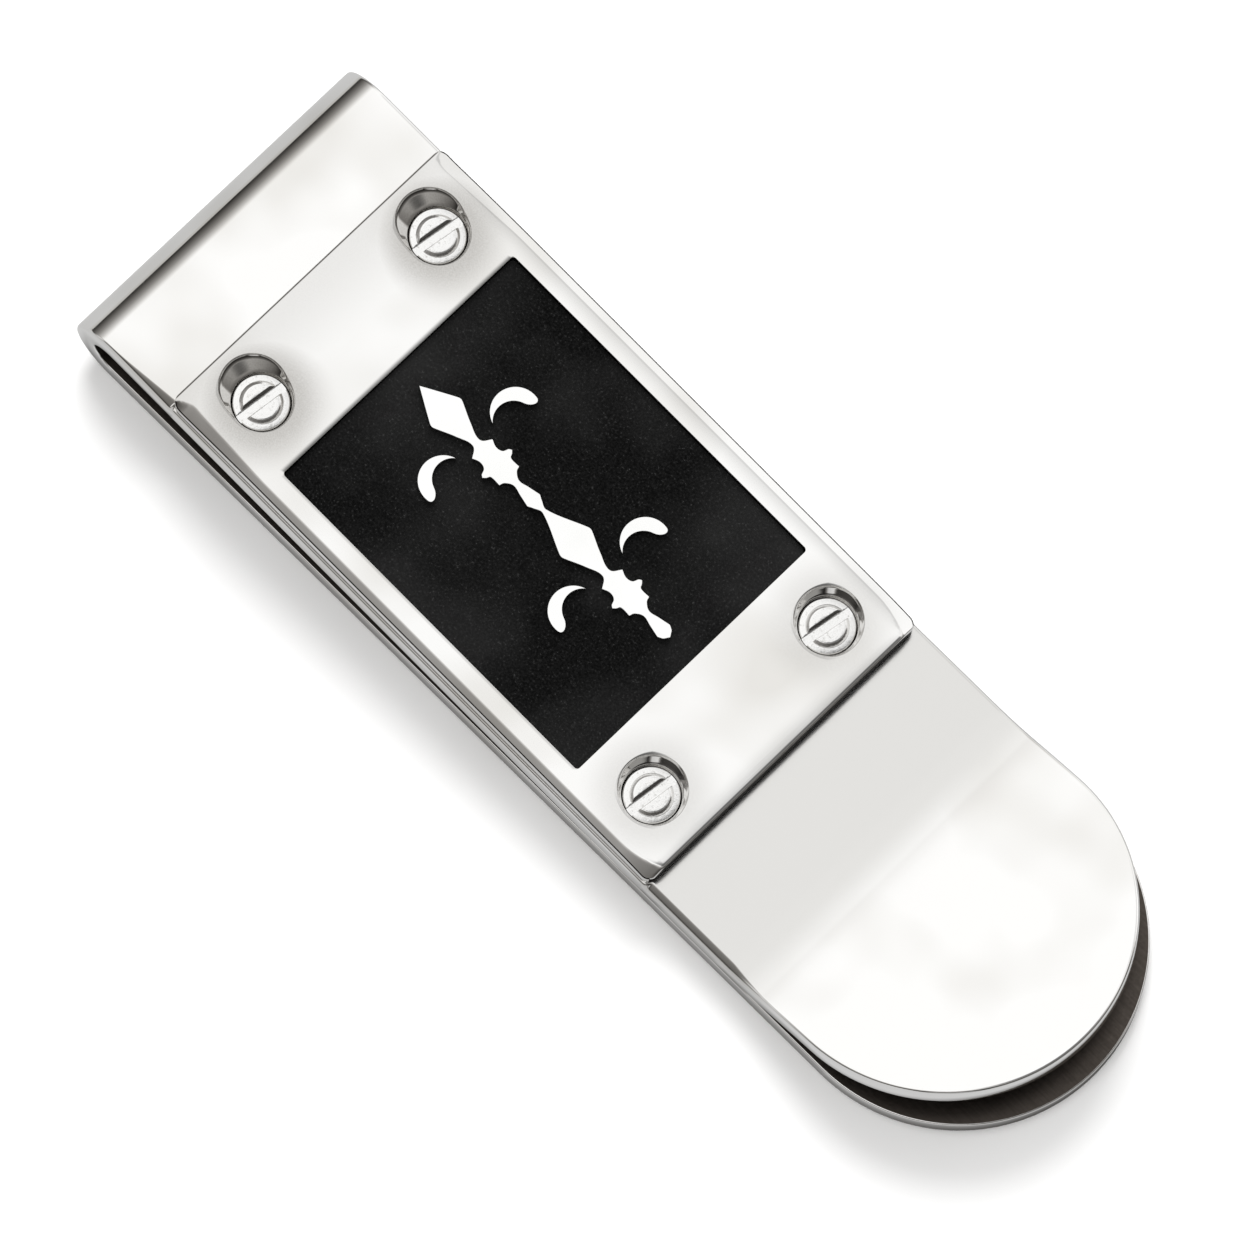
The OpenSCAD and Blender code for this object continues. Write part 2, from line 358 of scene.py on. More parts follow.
# The plate's steel carries painted shade round its screws and between the rear ones
PLATE_STEEL = polished_steel("plate_steel", (0.90, 0.895, 0.885), 0.05, 0.10, screw_shade_painted=True)
EMBLEM_STEEL = polished_steel("emblem_steel", (0.97, 0.97, 0.965), 0.08, 0.16,
                              cloud=(0.96, 0.96, 0.955))
SCREW_STEEL = screw_steel("screw_steel")
BLACK = black_plating("black_plating")


# ---------------------------------------------------------------- mesh helpers

def weighted(obj):
    """Shades flat faces flat and the small roundings between them smooth."""
    modifier = obj.modifiers.new("weighted_normals", "WEIGHTED_NORMAL")
    modifier.keep_sharp = True
    return obj


def solid(name, points, faces, material, sharp=None, second=None, second_faces=()):
    """Object from points in millimetres. sharp says which faces have hard edges all round.
    second_faces, by number, get the second material."""
    mesh = bpy.data.meshes.new(name)
    mesh.from_pydata([Vector(p) * MM for p in points], [], faces)
    for number in second_faces:
        mesh.polygons[number].material_index = 1
    work = bmesh.new()
    work.from_mesh(mesh)
    bmesh.ops.remove_doubles(work, verts=work.verts, dist=0.0002 * MM)
    bmesh.ops.dissolve_degenerate(work, edges=work.edges, dist=0.0001 * MM)
    bmesh.ops.recalc_face_normals(work, faces=work.faces)
    for face in work.faces:
        face.smooth = True
        if sharp and sharp(face):
            for edge in face.edges:
                edge.smooth = False
    work.to_mesh(mesh)
    work.free()
    mesh.materials.append(material)
    if second:
        mesh.materials.append(second)
    obj = bpy.data.objects.new(name, mesh)
    bpy.context.scene.collection.objects.link(obj)
    return obj


def applied(obj):
    """Applies the object's modifiers to its mesh."""
    graph = bpy.context.evaluated_depsgraph_get()
    mesh = bpy.data.meshes.new_from_object(obj.evaluated_get(graph))
    obj.modifiers.clear()
    obj.data = mesh
    return obj


def cut_by(obj, cutters, operation="DIFFERENCE"):
    """Cuts obj with other objects, or joins them to it, and takes those away."""
    for cutter in cutters:
        modifier = obj.modifiers.new("cut", "BOOLEAN")
        modifier.operation = operation
        modifier.solver = "EXACT"
        modifier.object = cutter
    applied(obj)
    for cutter in cutters:
        bpy.data.objects.remove(cutter)
    return obj


def only(obj, material):
    """Leaves an object with one material."""
    obj.data.materials.clear()
    obj.data.materials.append(material)
    return obj


def softened(obj, width, segments=2, angle=40):
    """Rounds the edges that are sharper than angle."""
    modifier = obj.modifiers.new("soft_edges", "BEVEL")
    modifier.width = width * MM
    modifier.segments = segments
    modifier.limit_method = "ANGLE"
    modifier.angle_limit = math.radians(angle)
    modifier.harden_normals = False
    return obj


def lerp(a, b, f):
    """a at f = 0, b at f = 1."""
    return a + (b - a) * f


def lines_through(stops):
    """Places in order through (stop, number of steps up to it) pairs, from the first stop."""
    made = [stops[0][0]]
    for stop, steps in stops[1:]:
        first = made[-1]
        made += [lerp(first, stop, (i + 1) / steps) for i in range(steps)]
    return made


def arc(centre, radius, start, end, steps):
    """Points of an arc in a plane, with both its ends, angles in degrees."""
    angles = [math.radians(lerp(start, end, i / steps)) for i in range(steps + 1)]
    return [(centre[0] + radius * math.cos(a), centre[1] + radius * math.sin(a)) for a in angles]


def strips_between(rows):
    """Points and quads of a surface from rows of the same number of points."""
    width = len(rows[0])
    points = [p for row in rows for p in row]
    faces = [(r * width + i, r * width + i + 1, (r + 1) * width + i + 1, (r + 1) * width + i)
             for r in range(len(rows) - 1) for i in range(width - 1)]
    return points, faces


def turned(profile, steps):
    """Points and faces of a closed turned solid.
    profile: (radius, z) points that start and end on its axis."""
    rows = [[(r * math.cos(a), r * math.sin(a), z)
             for a in (2 * math.pi * i / steps for i in range(steps + 1))] for r, z in profile]
    return strips_between(rows)


def rod(name, frame_matrix, x, y, radius, z0, z1, steps=32):
    """Plain round rod in a frame, used as a cutter or as a peg."""
    points, faces = turned([(0, z0), (radius, z0), (radius, z1), (0, z1)], steps)
    placed = [frame_matrix @ (Vector(p) + Vector((x, y, 0))) for p in points]
    return solid(name, placed, faces, BLACK)


# ---------------------------------------------------------------- the spring strip

OUTER_EDGE_R = 0.16     # rounding along the edges of the strip's outer face
INNER_EDGE_R = 0.07     # rounding along the edges of the face that lies towards the gap
# Shares of the half width where the flat faces have points, closer together at the worn edge
FLAT_STEPS = (0, 0.2, 0.4, 0.6, 0.78, 0.9, 0.935, 0.941, 0.947, 0.953, 0.959, 0.965, 0.971,
              0.977, 0.983, 0.989, 0.995)
WEAR_WIDTH = 0.44       # width of the worn slope on the front leaf's right edge, where it lies open
WEAR_SLOPE = 0.66       # how steep that slope is
WEAR_EASE = 0.05        # width of its soft start
WEAR_AT_FOLD = 0.36     # share of its width just after the fold
WEAR_AT_PLATE = 1.2     # and just before the plate
WEAR_END = 1.2          # how far past the bend into the tongue it ends
WEAR_FADE = 3.6         # and over what length it runs out up to there
SETTLE_BEND = 0.35      # half the length of the soft bend where the front leaf settles
KINK_BEND = 1.3         # half the length of the soft bend where the tongue turns up
EDGE_STEPS = 6          # steps round each long edge of the strip
TIP_STEPS = 72          # steps round its tip
BACK_SHORT = 0.22       # how far the visual back leaf ends short of the CAD's
TONGUE_SHORT = 0.5      # and how far the visual tongue does


def bent_path(start, angle, legs):
    """Path made of (length, turn) legs. Gives a function from distance to (x, z, direction)."""
    def place(s):
        x, z = start
        a = angle
        for k, (length, turn) in enumerate(legs):
            part = s if k == len(legs) - 1 else min(s, length)
            bend = turn * part / length
            if abs(turn) < 1e-9:
                x += part * math.cos(a)
                z += part * math.sin(a)
            else:
                radius = length / turn
                x += radius * (math.sin(a + bend) - math.sin(a))
                z += radius * (math.cos(a) - math.cos(a + bend))
            a += bend
            s -= part
            if s <= 0:
                break
        return x, z, a
    return place


def half_section(low_r, high_r):
    """Half of the strip's section as (y, height), from the middle of its low face round its edge
    to the middle of its high face."""
    lower = arc((half_w - low_r, low_r), low_r, -90, 0, EDGE_STEPS)
    upper = arc((half_w - high_r, strip_t - high_r), high_r, 0, 90, EDGE_STEPS)
    return ([((half_w - low_r) * f, 0) for f in FLAT_STEPS] + lower + upper
            + [((half_w - high_r) * f, strip_t) for f in reversed(FLAT_STEPS)])


def clamped(t):
    """t kept between 0 and 1."""
    return min(1.0, max(0.0, t))


def eased_step(x, start, end):
    """0 at start, 1 at end, with an eased slope between them."""
    t = clamped((x - start) / (end - start))
    return t * t * (3 - 2 * t)


def strip_piece(name, place, stations, tip_centre, inner_low, material, worn=lambda s: 0.0):
    """Strip along a path, from its square end to its round tip.
    inner_low: whether its low face is the inner one.
    worn: how much of the worn slope's width its right edge has at each distance."""
    low_r, high_r = (INNER_EDGE_R, OUTER_EDGE_R) if inner_low else (OUTER_EDGE_R, INNER_EDGE_R)
    turns = [math.pi * i / TIP_STEPS for i in range(1, TIP_STEPS)]
    rows = []
    for y, h in half_section(low_r, high_r):
        flat = [(s, -y) for s in stations]
        flat += [(tip_centre + y * math.sin(t), -y * math.cos(t)) for t in turns]
        flat += [(s, y) for s in reversed(stations)]
        row = []
        for s, across in flat:
            x, z, a = place(s)
            into = max(0.0, WEAR_WIDTH * worn(s) - (half_w + across))
            wear = WEAR_SLOPE * into * into / (into + WEAR_EASE)
            out = h * (1 - wear / strip_t)
            row.append((fold_x + x - out * math.sin(a), across, z + out * math.cos(a)))
        rows.append(row)
    points, faces = strips_between(rows)
    width = len(rows[0])
    # The faces towards the gap take the second material, the near-black steel of painted shade
    inner_rows = len(FLAT_STEPS) * (width - 1)
    inner = range(inner_rows) if inner_low else range(len(faces) - inner_rows, len(faces))
    end = [r * width for r in range(len(rows))]
    end += [r * width + width - 1 for r in reversed(range(len(rows)))]
    faces.append(end)
    # The square end is the one face with more than four corners
    return solid(name, points, faces, material, lambda face: len(face.verts) > 4, SHADE_PAINTED_INNER_STEEL, inner)


# Front part: fold, sloping leaf, level stretch and tongue. Distances run along its inner face.
fold_len = inner_r * (math.pi + lean)
slope_len = math.sqrt(run_x ** 2 + run_z ** 2 - inner_r ** 2)
level_len = kink_x - settle_x
tongue_r = (front_tip - kink_x) / (math.sin(TONGUE_RISE) - math.sin(TONGUE_END))
tongue_len = tongue_r * (TONGUE_RISE - TONGUE_END)
front_legs = [
    (fold_len, -(math.pi + lean)),
    (slope_len - SETTLE_BEND, 0),
    (2 * SETTLE_BEND, lean),
    (level_len - SETTLE_BEND - KINK_BEND, 0),
    (2 * KINK_BEND, TONGUE_RISE),
    (tongue_len - KINK_BEND, TONGUE_END - TONGUE_RISE),
]
front_path = bent_path((outer_r, strip_t), math.pi, front_legs)
reach = 0.0
leg_ends = []
for leg_length, _ in front_legs:
    reach += leg_length
    leg_ends.append(reach)
tip_shift = (front_tip - TONGUE_SHORT - front_path(reach)[0]) / math.cos(TONGUE_END)
front_tip_centre = reach + tip_shift - half_w
fold_end = leg_ends[0]
settle_end = leg_ends[2]
kink_start = leg_ends[3]
kink_end = leg_ends[4]
plate_start = fold_end + plate_lo.x
plate_end = fold_end + plate_hi.x
# Closer together at the plate's ends, where the worn edge starts and stops, and along the bends
front_stations = lines_through(sorted([
    (0, 0), (fold_end, 72), (plate_start - 0.2, 16), (plate_start + 0.3, 6),
    (plate_end - 0.3, 18), (plate_end + 0.2, 6), (settle_end, 4),
    (kink_start, 6), (kink_end, 20), (front_tip_centre, 8),
]))


def open_edge(s):
    """Share of the worn slope's width at a distance along the front part: none in the fold, under
    the plate and on most of the tongue."""
    along = clamped((s - fold_end) / (plate_start - fold_end))
    behind = lerp(WEAR_AT_FOLD, WEAR_AT_PLATE, along)
    behind *= eased_step(s, fold_end - 0.8, fold_end) * eased_step(s, plate_start + 0.3, plate_start)
    ahead = eased_step(s, plate_end - 0.3, plate_end + 0.1)
    ahead *= clamped((kink_end + WEAR_END - s) / WEAR_FADE)
    return behind + ahead


spring_front = strip_piece("spring_front", front_path, front_stations, front_tip_centre, True,
                           GRIP_STEEL, open_edge)
cut_by(spring_front, [
    rod("shank_hole", plate_frame, at.x, at.y, SHANK_R, -strip_t - 0.5, 0.5)
    for at in screw_at.values()
])
weighted(spring_front)

back_path = bent_path((outer_r, 0), 0.0, [(back_tip - outer_r, 0)])
back_tip_centre = back_tip - BACK_SHORT - outer_r - half_w
spring_back = strip_piece(
    "spring_back", back_path, lines_through([(0, 0), (back_tip_centre, 40)]), back_tip_centre,
    False, STRIP_STEEL)
weighted(spring_back)

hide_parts("fold_bend", "front_leaf")
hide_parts("back_leaf")
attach(spring_back, "back")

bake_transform(spring_front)


# ---------------------------------------------------------------- the cover plate

CORNER_R = 0.5          # plan radius of the plate's corners
WINDOW_R = 0.19         # plan radius of the window's corners
SEAT_R = 1.405          # counterbore that a screw head sits in
SHANK_HOLE_R = 0.65
DISH_R = 1.57           # dished rim around a head
DISH_DEPTH = 0.34
PATCH = 2.1             # half side of the patch of mesh around a screw hole
REAR_PATCH = 2.66       # how far a rear patch reaches towards the fold
PATCH_STEPS = 20
CHAMFER = 0.45          # width of the bevel on the sides
FRONT_BEVEL = 0.11      # width of the bevel on the front end
REAR_WIDTH = 0.28       # how much wider the side bevels get towards the fold end
REAR_REACH = 5.5        # and how far from it that starts
BEVEL_TAPER = 0.65      # length over which the side bevels run out again at the fold end
TAPER_END = 0.1         # and how far from the fold end they have run out
CORNER_WIDTH = 0.54     # how much wider the side bevels get at the front corners
CORNER_REACH = 2.2      # and how far from the front end that starts
REAR_EDGE = 0.12        # width of the small rounding on the fold end
SIDE_SLOPE = 0.46       # slopes of the bevels on the sides and the front end
FRONT_SLOPE = 0.9
REAR_SLOPE = 0.8        # and of the rounding on the fold end
BEVEL_EASE = 0.08       # width of the soft start of these three
SIDE_ROLL = 0.05        # how much the face sinks towards its sides, and over what width
SIDE_ROLL_REACH = 1.3
REAR_ROLL = 0.19        # how much it sinks towards the fold end, and over what length
REAR_ROLL_REACH = 5.4
FRONT_ROLL = 0.045      # how much it sinks towards the middle of the front end
SCREW_ROLL = 0.05       # how much it sinks towards each screw, and from how far
SCREW_ROLL_REACH = 2.8
WALL_TOP = 0.05         # height of the topmost strip of the outer wall
WALL_FOOT = 0.06        # and of the lowest, which leans in
TUCK = 0.05             # how far the foot of the outer wall stands back
# How far the dished rim of the rear and of the front pair is drawn off the screw, x and y
REAR_DISH_SHIFT = (-0.72, 0.14)
FRONT_DISH_SHIFT = (-0.12, 0.16)


def eased(t):
    """0 below 0, then a soft start into a slope of 1."""
    if t <= 0:
        return 0.0
    return t * t / (2 * BEVEL_EASE) if t < BEVEL_EASE else t - BEVEL_EASE / 2


def fall(distance, reach):
    """1 at distance 0, falling evenly to 0 at reach."""
    return max(0, 1 - distance / reach)


def top_height(x, y):
    """Height of the plate's face above the leaf: crowned, rolled off at its ends, bevelled."""
    side = plate_half_w - abs(y)
    front = plate_half_l - x
    rear = plate_half_l + x
    middle_share = 1 - (y / plate_half_w) ** 2
    bevel = CHAMFER + REAR_WIDTH * fall(rear, REAR_REACH)
    bevel *= math.sqrt(clamped((rear - TAPER_END) / BEVEL_TAPER))
    bevel += CORNER_WIDTH * fall(front, CORNER_REACH) ** 2
    drop = SIDE_ROLL * fall(side, SIDE_ROLL_REACH) ** 2
    drop += REAR_ROLL * fall(rear, REAR_ROLL_REACH) ** 2
    front_roll = FRONT_ROLL * lerp(0.25, 1, middle_share)
    drop += front_roll * fall(front, lerp(0.5, 1.5, middle_share)) ** 2
    drop += SIDE_SLOPE * eased(bevel - side)
    drop += FRONT_SLOPE * eased(FRONT_BEVEL - front)
    drop += REAR_SLOPE * eased(REAR_EDGE - rear)
    for at in screw_at.values():
        away = math.hypot(x - at.x, y - at.y)
        drop += SCREW_ROLL * fall(away, SCREW_ROLL_REACH) ** 3
    return plate_t - drop


def round_corner(x, y):
    """Draws the square corners of the grid in to the plate's round ones."""
    qx = (abs(x) - (plate_half_l - CORNER_R)) / CORNER_R
    qy = (abs(y) - (plate_half_w - CORNER_R)) / CORNER_R
    if qx <= 0 or qy <= 0:
        return x, y
    if qx >= qy:
        r, a = qx, math.pi / 4 * qy / qx
    else:
        r, a = qy, math.pi / 2 - math.pi / 4 * qx / qy
    px = plate_half_l - CORNER_R + CORNER_R * r * math.cos(a)
    py = plate_half_w - CORNER_R + CORNER_R * r * math.sin(a)
    return math.copysign(px, x), math.copysign(py, y)


def mirrored(lines):
    """Lines from 0 outwards, and the same on the other side."""
    return [-v for v in reversed(lines[1:])] + lines


screw_x = max(at.x for at in screw_at.values())
screw_y = max(at.y for at in screw_at.values())


def in_patch(x, y, at, margin=0.0):
    """Whether a place is in the patch round a screw."""
    behind = REAR_PATCH if at.x < 0 else PATCH
    return -behind - margin < x - at.x < PATCH + margin and abs(y - at.y) < PATCH + margin


# Distances of the outermost grid lines from the plate's front end, long edges and fold end
FRONT_LINES = [0.54, 0.46, 0.38, 0.3, 0.2, 0.1, 0.055, 0]
SIDE_LINES = [0.78, 0.7, 0.62] + FRONT_LINES
REAR_LINES = [0.12, 0.08, 0.05, 0.02, 0]

end_half = lines_through([(0, 0), (window_half_l - WINDOW_R, 16), (window_half_l, 1),
                          (pocket_half_l, 2), (screw_x - PATCH, 1)])
front_end = lines_through([(screw_x - PATCH, 0), (screw_x + PATCH, PATCH_STEPS)])[1:]
rear_end = lines_through([(screw_x - PATCH, 0), (screw_x + REAR_PATCH, PATCH_STEPS + 2)])[1:]
front_end += [plate_half_l - d for d in FRONT_LINES]
rear_end += [plate_half_l - d for d in REAR_LINES]
plate_xs = [-x for x in reversed(end_half[1:] + rear_end)] + end_half + front_end
plate_ys = mirrored(sorted(
    lines_through([(0, 0), (screw_y - PATCH, 8), (window_half_w - WINDOW_R, PATCH_STEPS - 3),
                   (window_half_w, 1), (screw_y + PATCH, 2), (pocket_half_w, 1)])
    + [plate_half_w - d for d in SIDE_LINES]))


def plate_mesh():
    """Points and faces of the cover plate in its own frame, and the numbers of the faces painted near
    black as shade: the wall of its front end and the outermost strips of its long edges."""
    points, faces, shade_painted_faces = [], [], []

    def face_of(corners):
        """Adds one face. solid() joins the corners that faces share."""
        faces.append(tuple(range(len(points), len(points) + len(corners))))
        points.extend(corners)

    def on_top(x, y):
        px, py = round_corner(x, y)
        return (px, py, top_height(px, py))

    def at_level(x, y, z):
        px, py = round_corner(x, y)
        return (px, py, z)

    def kind(x, y):
        """What the mesh has at a place. The ledge lies over the panel's flange, the foot on the
        leaf. The window's rim and the holes have functions of their own."""
        if abs(x) > plate_half_l or abs(y) > plate_half_w:
            return "outside"
        if abs(x) < window_half_l and abs(y) < window_half_w:
            return "window"
        if any(in_patch(x, y, at) for at in screw_at.values()):
            return "hole"
        return "ledge" if abs(x) < pocket_half_l and abs(y) < pocket_half_w else "foot"

    level = {"ledge": flange_t, "foot": 0.0, "hole": 0.0}
    xs, ys = plate_xs, plate_ys

    def cell(i, j):
        if not (0 <= i < len(xs) - 1 and 0 <= j < len(ys) - 1):
            return "outside"
        return kind((xs[i] + xs[i + 1]) / 2, (ys[j] + ys[j + 1]) / 2)

    def outer_wall(a, b):
        """Wall under one stretch of the outline, tucked in a little at its foot."""
        columns = []
        for x, y in (a, b):
            px, py, pz = on_top(x, y)
            column = [(px, py, z) for z in (pz, pz - WALL_TOP, pz / 2, WALL_FOOT)]
            column.append((px - math.copysign(TUCK, px), py - math.copysign(TUCK, py), 0))
            columns.append(column)
        for k in range(4):
            # The front end's wall is painted near black as shade
            if a[0] > plate_half_l - 0.001 and b[0] > plate_half_l - 0.001:
                shade_painted_faces.append(len(faces))
            face_of([columns[0][k], columns[1][k], columns[1][k + 1], columns[0][k + 1]])

    for i in range(len(xs) - 1):
        for j in range(len(ys) - 1):
            here = cell(i, j)
            if here not in ("ledge", "foot"):
                continue
            corners = [(xs[i], ys[j]), (xs[i + 1], ys[j]), (xs[i + 1], ys[j + 1]), (xs[i], ys[j + 1])]
            # The outermost strips along the long edges are painted near black as shade
            if j in (0, len(ys) - 2):
                shade_painted_faces.append(len(faces))
            face_of([on_top(*c) for c in corners])
            below = []
            for cx, cy in corners:
                px, py, pz = at_level(cx, cy, level[here])
                if min(plate_half_l - abs(cx), plate_half_w - abs(cy)) < 1e-6:
                    px -= math.copysign(TUCK, px)
                    py -= math.copysign(TUCK, py)
                below.append((px, py, pz))
            face_of(list(reversed(below)))
            neighbours = (cell(i, j - 1), cell(i + 1, j), cell(i, j + 1), cell(i - 1, j))
            for a, b, there in zip(corners, corners[1:] + corners[:1], neighbours):
                if there == "outside":
                    outer_wall(a, b)
                elif there in level and level[there] > level[here]:
                    face_of([at_level(*a, level[here]), at_level(*b, level[here]),
                             at_level(*b, level[there]), at_level(*a, level[there])])

    window_rim(face_of, xs, ys)
    for at in screw_at.values():
        screw_hole(face_of, xs, ys, at, REAR_DISH_SHIFT if at.x < 0 else FRONT_DISH_SHIFT)
    return points, faces, shade_painted_faces


def join_rows(face_of, rows):
    """Quads between rows of the same number of points."""
    for upper, lower in zip(rows, rows[1:]):
        for k in range(len(upper) - 1):
            face_of([upper[k], upper[k + 1], lower[k + 1], lower[k]])


# Steps of the small rounding at the top of the window's wall: (inwards, down)
RIM_STEPS = [(0.0, 0.0), (0.008, 0.002), (0.016, 0.008), (0.022, 0.018), (0.024, 0.04)]
WINDOW_STEPS = 8        # steps round each corner of the window


def window_rim(face_of, xs, ys):
    """Small rounding and wall round the window, with round corners."""
    wx, wy = window_half_l, window_half_w
    quarter_x = [x for x in xs if -1e-6 <= x <= wx - WINDOW_R + 1e-6]
    quarter_y = [y for y in ys if -1e-6 <= y <= wy - WINDOW_R + 1e-6]
    # A quarter of the outline: place and outward normal
    line = [(x, wy, 0, 1) for x in quarter_x]
    for k in range(1, WINDOW_STEPS):
        a = math.pi / 2 * (1 - k / WINDOW_STEPS)
        line.append((wx - WINDOW_R + WINDOW_R * math.cos(a), wy - WINDOW_R + WINDOW_R * math.sin(a),
                     math.cos(a), math.sin(a)))
    line += [(wx, y, 1, 0) for y in reversed(quarter_y)]
    first = len(quarter_x) - 1
    for sx in (-1, 1):
        for sy in (-1, 1):
            rows = []
            for inset, drop in RIM_STEPS:
                rows.append([(sx * (x - nx * inset), sy * (y - ny * inset), top_height(x, y) - drop)
                             for x, y, nx, ny in line])
            rows.append([(x, y, flange_t) for x, y, _ in rows[-1]])
            ledge = [(sx * x, sy * y, flange_t) for x, y, _, _ in line]
            rows.append(ledge)
            join_rows(face_of, rows)
            for z, ring in ((top_height(wx, wy), rows[0]), (flange_t, ledge)):
                for k in range(first, first + WINDOW_STEPS):
                    face_of([(sx * wx, sy * wy, z), ring[k], ring[k + 1]])


# Steps from the edge of a screw's patch in to the rim of its dish, as shares of the way
PATCH_SHARES = (0.2, 0.4, 0.58, 0.74, 0.88, 1.0)
# Steps over the rim of a dish: (distance outside the rim, depth under the face)
DISH_EDGE = [(0.01, 0.006), (-0.005, 0.03), (-0.02, 0.07)]
DISH_SHARES = (0.25, 0.5, 0.8, 1.0)     # steps down its slope, as shares of the way
RIM_CLEAR = 0.08        # least distance of the dish's rim from the bore
RIM_BLEND = 0.03        # how softly the drawn-off rim runs into that least distance


def screw_hole(face_of, xs, ys, at, shift):
    """Patch of the plate round one screw: from the face, down the dish and the bore, to the foot."""
    around_x = [x for x in xs if in_patch(x, at.y, at, 1e-6)]
    around_y = [y for y in ys if in_patch(at.x, y, at, 1e-6)]
    x0, x1, y0, y1 = around_x[0], around_x[-1], around_y[0], around_y[-1]
    square = [(x, y0) for x in around_x[:-1]] + [(x1, y) for y in around_y[:-1]]
    square += [(x, y1) for x in reversed(around_x[1:])] + [(x0, y) for y in reversed(around_y[1:])]
    columns = []
    for x, y in square:
        a = math.atan2(y - at.y, x - at.x)
        ux, uy = math.cos(a), math.sin(a)
        along = shift[0] * ux + shift[1] * uy
        off = shift[0] ** 2 + shift[1] ** 2
        drawn = along + math.sqrt(max(0, DISH_R ** 2 - off + along ** 2))
        least = SEAT_R + RIM_CLEAR
        rim = 0.5 * (drawn + least + math.sqrt((drawn - least) ** 2 + RIM_BLEND))

        def spot(r, z=None, drop=0.0):
            """Point at a distance from the screw's middle, at a height or so far under the face."""
            px, py = at.x + r * ux, at.y + r * uy
            return (px, py, top_height(px, py) - drop if z is None else z)

        face_z = spot(rim)[2]
        foot_z = face_z - DISH_DEPTH
        outer = math.hypot(x - at.x, y - at.y)
        column = [(x, y, top_height(x, y))]
        column += [spot(lerp(outer, rim + 0.03, f)) for f in PATCH_SHARES]
        column += [spot(rim + out, drop=depth) for out, depth in DISH_EDGE]
        out, depth = DISH_EDGE[-1]
        for f in DISH_SHARES:
            r = lerp(rim + out, SEAT_R + 0.03, f)
            column.append(spot(r, z=lerp(face_z - depth, foot_z, f)))
        column += [spot(SEAT_R + 0.008, z=foot_z - 0.012), spot(SEAT_R, z=foot_z - 0.04)]
        column += [spot(SEAT_R, z=SEAT_Z), spot(SHANK_HOLE_R + 0.04, z=SEAT_Z)]
        column += [spot(SHANK_HOLE_R, z=SEAT_Z - 0.04), spot(SHANK_HOLE_R, z=0.0)]
        column += [spot(lerp(SHANK_HOLE_R, outer, 0.4), z=0.0), (x, y, 0.0)]
        columns.append(column)
    join_rows(face_of, list(zip(*columns, columns[0])))


plate_points, plate_faces, plate_shade_painted = plate_mesh()
cover_plate = solid("plate_shell", [plate_frame @ Vector(p) for p in plate_points], plate_faces,
                    PLATE_STEEL, None, SHADE_PAINTED_END_STEEL, plate_shade_painted)
weighted(cover_plate)
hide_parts("cover_plate")
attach(cover_plate, "front")


# ---------------------------------------------------------------- the inlay panel

PANEL_EDGE = 0.03       # width of the rounding on the panel's edges

panel = only(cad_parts["inlay_panel"], BLACK)
softened(panel, PANEL_EDGE)
weighted(panel)


# ---------------------------------------------------------------- the emblem

SHARP_TURN = math.radians(62)   # outward corners that stay crisp
EASED_TURN = math.radians(25)   # outward corners that are rounded a little
EASE = 0.12                     # share of the shorter side that such a rounding takes
CRISP_TURN = EASED_TURN * 1.2   # outward turns that the curves leave sharp
CUT_END = (math.radians(60), math.radians(120))     # turn of each corner of a cut-off end
BLUNT = 0.42                    # reach of the rounding at a crescent's blunt end
BLUNT_STEPS = 8
OUTLINE_STEP = 0.07
EMBLEM_EDGE = 0.025             # width of the rounding on its edges
PEG_R = 0.155
PEG_OVERLAP = 0.05              # how far the pegs reach up into the piece


def top_outline(node):
    """Outline of a node's flat top in the plate's frame, in order, and its height."""
    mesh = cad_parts[node].data
    local = local_points(node, plate_frame)
    top = max(p.z for p in local)
    keys = [(round(p.x, 3), round(p.y, 3)) for p in local]
    edges = {}
    for polygon in mesh.polygons:
        if all(local[v].z > top - 0.005 for v in polygon.vertices):
            ring = [keys[v] for v in polygon.vertices]
            for a, b in zip(ring, ring[1:] + ring[:1]):
                if (b, a) in edges:
                    del edges[(b, a)]
                elif a != b:
                    edges[(a, b)] = True
    follow = {a: b for a, b in edges}
    start = min(follow)
    outline = [start]
    while follow[outline[-1]] != start:
        outline.append(follow[outline[-1]])
    return [Vector(p) for p in outline], top


def without_straights(outline):
    """Drops points that lie on a straight line between their neighbours."""
    kept = []
    for k, p in enumerate(outline):
        before, after = outline[k - 1], outline[(k + 1) % len(outline)]
        if abs((p - before).angle_signed(after - p)) > 0.004:
            kept.append(p)
    return kept


def turn_at(outline, k):
    """How far the outline turns outward at a point, positive at an outward corner."""
    p = outline[k]
    before, after = outline[k - 1], outline[(k + 1) % len(outline)]
    a, b = p - before, after - p
    return math.atan2(a.x * b.y - a.y * b.x, a.dot(b))


def eased_corners(outline):
    """Outline whose milder outward corners are rounded."""
    made = []
    for k, p in enumerate(outline):
        turn = turn_at(outline, k)
        before, after = outline[k - 1], outline[(k + 1) % len(outline)]
        if EASED_TURN < turn < SHARP_TURN:
            ease = EASE * min((before - p).length, (after - p).length)
            a = p + (before - p).normalized() * ease
            b = p + (after - p).normalized() * ease
            made += [a, (a + 2 * p + b) / 4, b]
        else:
            made.append(p)
    return made


